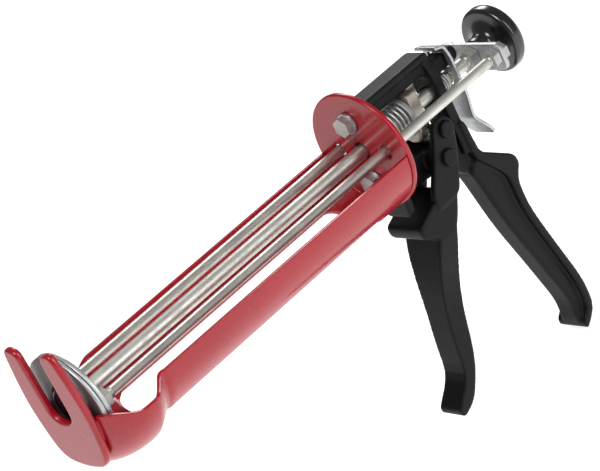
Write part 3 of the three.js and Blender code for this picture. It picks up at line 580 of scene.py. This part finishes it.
def zinc(name, stretch, tint=(0.70, 0.69, 0.64)):
    """Zinc plate: cloudy passivated steel with fine draw lines along its stretch."""
    plating = Finish(name)
    cloud = plating.noise(55, 5)
    streak = plating.noise(240, 6, stretch, 0.7)
    blotch = plating.ramp(plating.noise(120, 5, (1, 1, 1), 0.65), [(0.50, 0.0), (0.74, 1.0)])
    bright = tuple(min(1, c * 1.18) for c in tint)
    dull = tuple(c * 0.60 for c in tint)
    tone = plating.mix(cloud, (*dull, 1), (*bright, 1))
    aged = plating.mix(blotch * 0.30, tone, (0.34, 0.32, 0.26, 1))
    lines = plating.bump(streak, 0.03 * MM, 0.5)
    return plating.wear(
        base_color=aged,
        metallic=0.92 - blotch * 0.12,
        roughness=0.32 + streak * 0.20 + blotch * 0.14,
        normal=lines,
    )


rod_zinc = zinc("rod_zinc", (0.06, 1, 1))
plate_zinc = zinc("plate_zinc", (1, 0.5, 1), (0.52, 0.54, 0.55))


def turned(name, profile, y=0.0, z=0.0, steps=72):
    """A solid of revolution about a line along X from (x, radius) points, first to last on the axis
    or round a ring that closes on itself."""
    bm = bmesh.new()
    open_ends = abs(profile[0][1]) < 1e-7
    rings = []
    for x, radius in profile:
        if radius < 1e-7:
            rings.append([bm.verts.new((x, y, z))])
            continue
        turn = [2 * math.pi * k / steps for k in range(steps)]
        rings.append([
            bm.verts.new((x, y + radius * math.cos(a), z + radius * math.sin(a))) for a in turn])
    pairs = list(zip(rings, rings[1:]))
    if not open_ends:
        pairs.append((rings[-1], rings[0]))
    for first, second in pairs:
        for k in range(steps):
            n = (k + 1) % steps
            if len(first) == 1:
                bm.faces.new((first[0], second[k], second[n]))
            elif len(second) == 1:
                bm.faces.new((first[k], second[0], first[n]))
            else:
                bm.faces.new((first[k], second[k], second[n], first[n]))
    return mesh_from(bm, name)


def rod(name, node, threads, pitch):
    """A rod with chamfered ends and a rolled thread for a stretch at each end."""
    low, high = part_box(node)
    radius = (high.y - low.y) / 2
    profile = [(low.x, 0.0), (low.x, radius - 1 * MM), (low.x + ROD_CHAMFER, radius - 0.25 * MM)]
    for start, end in threads:
        turns = int((end - start) / pitch)
        for k in range(turns):
            x = start + k * pitch
            profile += [(x, radius - THREAD_DEPTH), (x + pitch * 0.5, radius - THREAD_CREST)]
        profile.append((start + turns * pitch, radius - THREAD_CREST))
    profile += [(high.x - ROD_CHAMFER, radius), (high.x, radius - ROD_CHAMFER), (high.x, 0.0)]
    y = (high.y + low.y) / 2
    piece_of(name, turned(name, profile, y, 0.0, 40), rod_zinc, "plunger", [node])


yoke_low, yoke_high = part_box("yoke")
carrier_low, carrier_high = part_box("pusher_carrier")
for side in ("left", "right"):
    rear_thread = (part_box(side + "_rod")[0].x + 1 * MM, yoke_high.x + 7 * MM)
    front_thread = (carrier_low.x - 9 * MM, carrier_low.x - 0.5 * MM)
    rod(side + "_push_rod", side + "_rod", (rear_thread, front_thread), SIDE_PITCH)
rod("middle_drive_rod", "drive_rod", ((yoke_low.x + 1 * MM, yoke_high.x + 9 * MM),), DRIVE_PITCH)

ring_low, ring_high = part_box("pusher_ring")
ring_profile = [(p.x, p.y) for p in rounded([
    (ring_low.x, RING_BORE, 0.3 * MM),
    (ring_low.x, ring_high.y, 0.5 * MM),
    (ring_high.x, ring_high.y, 1.1 * MM),
    (ring_high.x, RING_BORE, 0.6 * MM),
], 4)]
piece_of("pusher_ring_disc", turned("pusher_ring_disc", ring_profile, steps=128),
         plate_zinc, "plunger", ["pusher_ring"])
carrier_rings = [circle(0, 0, carrier_high.y, 120), circle(0, 0, DRIVE_CLEAR),
                 circle(side_offset, 0, SIDE_CLEAR), circle(-side_offset, 0, SIDE_CLEAR)]
piece_of("pusher_carrier_disc",
         plate("pusher_carrier_disc", carrier_rings, carrier_low.x, carrier_high.x, 0.5 * MM, facing_x),
         plate_zinc, "plunger", ["pusher_carrier"])


# ==================================================================== knob and inner pusher
# The knob at the rear and the inner pusher are moulded in hard black plastic, glossy but
# covered in the fine rubs that a palm leaves.
KNOB_NECK = 8 * MM


def black_gloss():
    plastic = Finish("black_gloss")
    cloud = plastic.noise(40, 4)
    rub = plastic.noise(150, 8, (1, 0.25, 1), 0.75)
    colour = plastic.mix(cloud, (0.004, 0.0035, 0.005, 1), (0.009, 0.008, 0.010, 1))
    return plastic.wear(
        base_color=colour,
        metallic=0.0,
        roughness=0.16 + rub * 0.16,
        coat_weight=0.4 + cloud * 0.2,
        coat_roughness=0.08,
        normal=plastic.bump(rub, 0.02 * MM, 0.4),
    )


gloss = black_gloss()
knob_low, knob_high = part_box("knob")
knob_radius = knob_high.y
cap_front = knob_low.x + (knob_high.x - knob_low.x) * 0.45
knob_profile = [(p.x, max(p.y, 0.0)) for p in rounded([
    (knob_low.x, 0.0, 0),
    (knob_low.x - 0.1 * MM, knob_radius * 0.62, 9 * MM),
    (knob_low.x + 3.4 * MM, knob_radius + 0.6 * MM, 9 * MM),
    (cap_front + 0.6 * MM, knob_radius, 2.2 * MM),
    (cap_front + 1.4 * MM, knob_radius - 7 * MM, 5 * MM),
    (cap_front + 4.5 * MM, KNOB_NECK, 4 * MM),
    (knob_high.x, KNOB_NECK, 0.8 * MM),
    (knob_high.x, 0.0, 0),
], 10)]
piece_of("palm_knob", turned("palm_knob", knob_profile, steps=96),
         gloss, "plunger", ["knob"])

inner_low, inner_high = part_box("inner_pusher")
inner_profile = [(p.x, max(p.y, 0.0)) for p in rounded([
    (inner_low.x, 0.0, 0),
    (inner_low.x, inner_high.y, 0.5 * MM),
    (inner_high.x, inner_high.y, 1.4 * MM),
    (inner_high.x, 0.0, 0),
], 5)]
piece_of("inner_pusher_disc", turned("inner_pusher_disc", inner_profile, steps=64),
         gloss, "plunger", ["inner_pusher"])


# ==================================================================== yoke
# A flat bar of zinc-plated steel ties the three rods together behind the body. It is bored for
# them and clamped between their nuts.
yoke_corners = [
    (yoke_low.y, yoke_low.z, 5 * MM), (yoke_high.y, yoke_low.z, 5 * MM),
    (yoke_high.y, yoke_high.z, 5 * MM), (yoke_low.y, yoke_high.z, 5 * MM),
]
yoke_rings = [rounded(yoke_corners, 9), circle(0, 0, DRIVE_CLEAR),
              circle(side_offset, 0, SIDE_CLEAR), circle(-side_offset, 0, SIDE_CLEAR)]
piece_of("yoke_bar", plate("yoke_bar", yoke_rings, yoke_low.x, yoke_high.x, 0.5 * MM, facing_x),
         plate_zinc, "plunger", ["yoke"])


# ==================================================================== nuts, bolts and washers
# Steel nuts and bolt heads, zinc plated, hold the rods and the body. They are one shape in several
# sizes: a hexagon prism whose corners are rounded off by a flattened ball.
SIDE_FLATS = 10 * MM
SIDE_BORE = 3.05 * MM
DRIVE_FLATS = 13 * MM
DRIVE_BORE = 4.05 * MM
HEAD_BORE = 0.05 * MM
WASHER_HOLE = 3.3 * MM
BALL_REACH = 1.09
BALL_DEPTH = 0.86


def hexagon_tree():
    tree = bpy.data.node_groups.new("hexagon_head", "GeometryNodeTree")
    tree.interface.new_socket("Geometry", in_out="OUTPUT", socket_type="NodeSocketGeometry")
    sockets = {}
    for name, kind in (("Place", "NodeSocketVector"), ("Across Flats", "NodeSocketFloat"),
                       ("Height", "NodeSocketFloat"), ("Bore", "NodeSocketFloat"),
                       ("Finish", "NodeSocketMaterial")):
        sockets[name] = tree.interface.new_socket(name, in_out="INPUT", socket_type=kind).identifier

    def node(kind, inputs, **settings):
        made = tree.nodes.new(kind)
        for key, value in settings.items():
            setattr(made, key, value)
        for key, value in inputs.items():
            target = made.inputs[key]
            if isinstance(value, bpy.types.NodeSocket):
                tree.links.new(value, target)
            else:
                target.default_value = value
        return made

    def maths(operation, first, second):
        return node("ShaderNodeMath", {0: first, 1: second}, operation=operation).outputs[0]

    given = tree.nodes.new("NodeGroupInput").outputs
    corner = maths("MULTIPLY", given["Across Flats"], 1 / math.sqrt(3))
    prism = node("GeometryNodeMeshCylinder",
                 {"Vertices": 6, "Radius": corner, "Depth": given["Height"]}, fill_type="NGON")
    reach = maths("MULTIPLY", corner, BALL_REACH)
    depth = maths("MULTIPLY", maths("ADD", corner, given["Height"]), BALL_DEPTH)
    ball = node("GeometryNodeMeshUVSphere", {"Segments": 48, "Rings": 32, "Radius": 1.0})
    flat = node("ShaderNodeCombineXYZ", {"X": reach, "Y": reach, "Z": depth})
    blank = node("GeometryNodeTransform", {"Geometry": ball.outputs[0], "Scale": flat.outputs[0]})
    crowned = node("GeometryNodeMeshBoolean", {}, operation="INTERSECT", solver="EXACT")
    tree.links.new(prism.outputs[0], crowned.inputs["Mesh 2"])
    tree.links.new(blank.outputs[0], crowned.inputs["Mesh 2"])
    drill = node("GeometryNodeMeshCylinder", {"Vertices": 32, "Radius": given["Bore"],
                                              "Depth": maths("MULTIPLY", given["Height"], 1.5)})
    bored = node("GeometryNodeMeshBoolean", {}, operation="DIFFERENCE", solver="EXACT")
    tree.links.new(crowned.outputs[0], bored.inputs["Mesh 1"])
    tree.links.new(drill.outputs[0], bored.inputs["Mesh 2"])
    upright = node("GeometryNodeTransform", {
        "Geometry": bored.outputs[0], "Translation": given["Place"],
        "Rotation": (0, math.pi / 2, 0)})
    real = node("GeometryNodeRealizeInstances", {"Geometry": upright.outputs[0]})
    coated = node("GeometryNodeSetMaterial", {"Geometry": real.outputs[0], "Material": given["Finish"]})
    tree.links.new(coated.outputs[0], tree.nodes.new("NodeGroupOutput").inputs[0])
    return tree, sockets


hexagon, hexagon_inputs = hexagon_tree()
nut_zinc = zinc("nut_zinc", (1, 1, 1), (0.50, 0.50, 0.49))


def hexagon_piece(name, node, body, height_from, flats, bore):
    """One nut, or one bolt head when its bore is tiny, in the place of its CAD node."""
    low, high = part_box(node)
    front = high.x
    rear = low.x if height_from is None else height_from
    carrier = bpy.data.objects.new(name, bpy.data.meshes.new(name))
    bpy.context.scene.collection.objects.link(carrier)
    maker = carrier.modifiers.new("hexagon", "NODES")
    maker.node_group = hexagon
    maker[hexagon_inputs["Place"]] = ((front + rear) / 2, (low.y + high.y) / 2, (low.z + high.z) / 2)
    maker[hexagon_inputs["Across Flats"]] = flats
    maker[hexagon_inputs["Height"]] = front - rear
    maker[hexagon_inputs["Bore"]] = bore
    maker[hexagon_inputs["Finish"]] = nut_zinc
    made = finished(carrier).data
    bpy.data.objects.remove(carrier)
    piece_of(name, made, nut_zinc, body, [node], sharp=25)


for side in ("left", "right"):
    for seat in ("carrier", "yoke", "jam"):
        node_name = f"{side}_{seat}_nut"
        hexagon_piece(node_name + "_hex", node_name, "plunger", None, SIDE_FLATS, SIDE_BORE)
hexagon_piece("drive_rod_nut_hex", "drive_rod_nut", "plunger", None, DRIVE_FLATS, DRIVE_BORE)

for place in ("upper", "lower"):
    washer_low, washer_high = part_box(place + "_plate_washer")
    washer_z = (washer_low.z + washer_high.z) / 2
    washer_rings = [circle(0, washer_z, washer_high.y, 64), circle(0, washer_z, WASHER_HOLE, 40)]
    piece_of(place + "_washer",
             plate(place + "_washer", washer_rings, washer_low.x, washer_high.x, 0.25 * MM, facing_x),
             plate_zinc, "frame", [place + "_plate_washer"])
    hexagon_piece(place + "_bolt_head", place + "_plate_bolt", "frame",
                  washer_high.x, SIDE_FLATS, HEAD_BORE)


# ==================================================================== body and trigger
# Two metal castings, coated satin black: the body, and the trigger that turns on a rivet in it.
# Their edges are soft all over, and the coat has a fine even grain, rubbed smoother in patches.
BODY_GRID = 0.75 * MM
TRIGGER_GRID = 0.62 * MM
CASTING_PASSES = 5
RIVET_HEAD_HEIGHT = 2.2 * MM
RIVET_SHANK_RADIUS = 2.5 * MM


def black_casting():
    coat = Finish("black_casting")
    grain = coat.noise(900, 3, (1, 1, 1), 0.6)
    cloud = coat.noise(35, 4)
    rub = coat.ramp(coat.noise(70, 7, (1, 1, 0.5), 0.7), [(0.55, 0.0), (0.78, 1.0)])
    tone = coat.mix(cloud, (0.0020, 0.0020, 0.0027, 1), (0.0045, 0.0045, 0.0055, 1))
    colour = coat.mix(rub * 0.5, tone, (0.011, 0.011, 0.013, 1))
    fine = coat.bump(grain, 0.04 * MM, 0.45)
    return coat.wear(
        base_color=colour,
        metallic=0.0,
        roughness=0.40 + cloud * 0.10 - rub * 0.10 + grain * 0.06,
        specular_ior_level=0.18,
        normal=coat.bump(coat.noise(120, 3), 0.05 * MM, 0.3, fine),
    )


casting = black_casting()


def softened(name, node, voxel, passes):
    """A copy of a CAD node's shape with its edges and corners melted, as a casting or a tumbled
    pressing has them."""
    bm = bmesh.new()
    bm.from_mesh(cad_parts[node].data)
    bmesh.ops.remove_doubles(bm, verts=bm.verts, dist=2e-6)
    mesh = bpy.data.meshes.new(name)
    bm.to_mesh(mesh)
    bm.free()
    piece = bpy.data.objects.new(name, mesh)
    bpy.context.scene.collection.objects.link(piece)
    grid = piece.modifiers.new("grid", "REMESH")
    grid.mode = "VOXEL"
    grid.voxel_size = voxel
    melt = piece.modifiers.new("melt", "SMOOTH")
    melt.factor = 0.5
    melt.iterations = passes
    made = finished(piece).data
    bpy.data.objects.remove(piece)
    return made


piece_of("body_casting", softened("body_casting", "body", BODY_GRID, CASTING_PASSES),
         casting, "frame", ["body"], sharp=180)
piece_of("trigger_casting", softened("trigger_casting", "trigger", TRIGGER_GRID, CASTING_PASSES),
         casting, "trigger", ["trigger"], sharp=180)


def rivet_mesh(name, node):
    """A rivet with a domed head at each side, painted with the castings."""
    low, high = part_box(node)
    x = (low.x + high.x) / 2
    z = (low.z + high.z) / 2
    head = (high.x - low.x) / 2
    seat = high.y - RIVET_HEAD_HEIGHT
    half = [(p.x, max(p.y, 0.0)) for p in rounded([
        (seat, RIVET_SHANK_RADIUS, 0),
        (seat, head, 0.3 * MM),
        (high.y - 0.2 * MM, head * 0.97, 1.6 * MM),
        (high.y, head * 0.6, 1.5 * MM),
        (high.y, 0.0, 0),
    ], 5)]
    profile = [(-along, radius) for along, radius in reversed(half)] + half
    mesh = turned(name, profile, steps=48)
    mesh.transform(Matrix.Translation((x, 0, z)) @ Matrix.Rotation(math.pi / 2, 4, "Z"))
    return mesh


piece_of("pivot_rivet_pin", rivet_mesh("pivot_rivet_pin", "pivot_rivet"),
         casting, "frame", ["pivot_rivet"])
piece_of("drive_rivet_pin", rivet_mesh("drive_rivet_pin", "drive_rivet"),
         casting, "trigger", ["drive_rivet"])


# ==================================================================== grip plate, cup and springs
# The thick grip plate jams on the drive rod. A dished cup seats the drive spring against it, and
# a short spring behind the body holds the release lever out.
GRIP_GRID = 0.35 * MM
PRESSING_PASSES = 3
CUP_HOLE = 4.7 * MM
CUP_WALL = 1.2 * MM
DRIVE_WIRE = 0.95 * MM
DRIVE_TURNS = 7.0
RELEASE_WIRE = 0.7 * MM
RELEASE_TURNS = 3.0
RELEASE_SLACK = 0.6 * MM

grip_zinc = zinc("grip_steel", (1, 0.2, 1), (0.42, 0.38, 0.33))
piece_of("grip_plate_block", softened("grip_plate_block", "grip_plate", GRIP_GRID, PRESSING_PASSES),
         grip_zinc, "grip", ["grip_plate"], sharp=180)
cup_low, cup_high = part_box("spring_cup")
cup_profile = [(p.x, p.y) for p in rounded([
    (cup_low.x, CUP_HOLE, 0.3 * MM),
    (cup_low.x, cup_high.y - 0.6 * MM, 1.8 * MM),
    (cup_high.x, cup_high.y, 0.4 * MM),
    (cup_high.x, cup_high.y - 1.2 * MM, 0.4 * MM),
    (cup_low.x + CUP_WALL, cup_high.y - 1.5 * MM, 1.2 * MM),
    (cup_low.x + CUP_WALL, CUP_HOLE, 0.3 * MM),
], 5)]
piece_of("spring_cup_dish", turned("spring_cup_dish", cup_profile, steps=72),
         plate_zinc, "grip", ["spring_cup"])

spring_steel = zinc("spring_steel", (1, 1, 1), (0.50, 0.50, 0.49))


def coil_tree():
    """A spring of even turns about the X axis, with capped ends."""
    tree = bpy.data.node_groups.new("coil_spring", "GeometryNodeTree")
    tree.interface.new_socket("Geometry", in_out="OUTPUT", socket_type="NodeSocketGeometry")
    names = {}
    for name, kind in (("Start", "NodeSocketFloat"), ("Length", "NodeSocketFloat"),
                       ("Radius", "NodeSocketFloat"), ("Wire Radius", "NodeSocketFloat"),
                       ("Turns", "NodeSocketFloat"), ("Finish", "NodeSocketMaterial")):
        names[name] = tree.interface.new_socket(name, in_out="INPUT", socket_type=kind).identifier
    given = tree.nodes.new("NodeGroupInput").outputs
    link = tree.links.new
    spiral = tree.nodes.new("GeometryNodeCurveSpiral")
    spiral.inputs["Resolution"].default_value = 36
    link(given["Turns"], spiral.inputs["Rotations"])
    link(given["Radius"], spiral.inputs["Start Radius"])
    link(given["Radius"], spiral.inputs["End Radius"])
    link(given["Length"], spiral.inputs["Height"])
    wire = tree.nodes.new("GeometryNodeCurvePrimitiveCircle")
    wire.inputs["Resolution"].default_value = 12
    link(given["Wire Radius"], wire.inputs["Radius"])
    tube = tree.nodes.new("GeometryNodeCurveToMesh")
    tube.inputs["Fill Caps"].default_value = True
    link(spiral.outputs[0], tube.inputs["Curve"])
    link(wire.outputs[0], tube.inputs["Profile Curve"])
    place = tree.nodes.new("ShaderNodeCombineXYZ")
    link(given["Start"], place.inputs["X"])
    laid = tree.nodes.new("GeometryNodeTransform")
    laid.inputs["Rotation"].default_value = (0, math.pi / 2, 0)
    link(tube.outputs[0], laid.inputs["Geometry"])
    link(place.outputs[0], laid.inputs["Translation"])
    real = tree.nodes.new("GeometryNodeRealizeInstances")
    link(laid.outputs[0], real.inputs[0])
    coated = tree.nodes.new("GeometryNodeSetMaterial")
    link(real.outputs[0], coated.inputs["Geometry"])
    link(given["Finish"], coated.inputs["Material"])
    link(coated.outputs[0], tree.nodes.new("NodeGroupOutput").inputs[0])
    return tree, names


coil, coil_inputs = coil_tree()


def spring(name, node, wire_radius, turns, slack=0.0):
    low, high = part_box(node)
    maker_piece = bpy.data.objects.new(name, bpy.data.meshes.new(name))
    bpy.context.scene.collection.objects.link(maker_piece)
    maker = maker_piece.modifiers.new("coil", "NODES")
    maker.node_group = coil
    maker[coil_inputs["Start"]] = low.x + wire_radius + slack
    maker[coil_inputs["Length"]] = high.x - low.x - 2 * wire_radius - slack
    maker[coil_inputs["Radius"]] = high.y - wire_radius
    maker[coil_inputs["Wire Radius"]] = wire_radius
    maker[coil_inputs["Turns"]] = turns
    maker[coil_inputs["Finish"]] = spring_steel
    made = finished(maker_piece).data
    bpy.data.objects.remove(maker_piece)
    piece_of(name, made, spring_steel, "frame", [node], sharp=60)


spring("drive_spring_coil", "drive_spring", DRIVE_WIRE, DRIVE_TURNS)
spring("release_spring_coil", "release_spring", RELEASE_WIRE, RELEASE_TURNS, RELEASE_SLACK)


# ==================================================================== release lever
# A pressed zinc-plated plate hangs on the body's lug and bites the drive rod. Its spoon-shaped
# thumb tab at the bottom lets the rod go.
LEVER_GRID = 0.36 * MM

piece_of("release_lever_plate",
         softened("release_lever_plate", "release_lever", LEVER_GRID, PRESSING_PASSES),
         plate_zinc, "release", ["release_lever"], sharp=180)
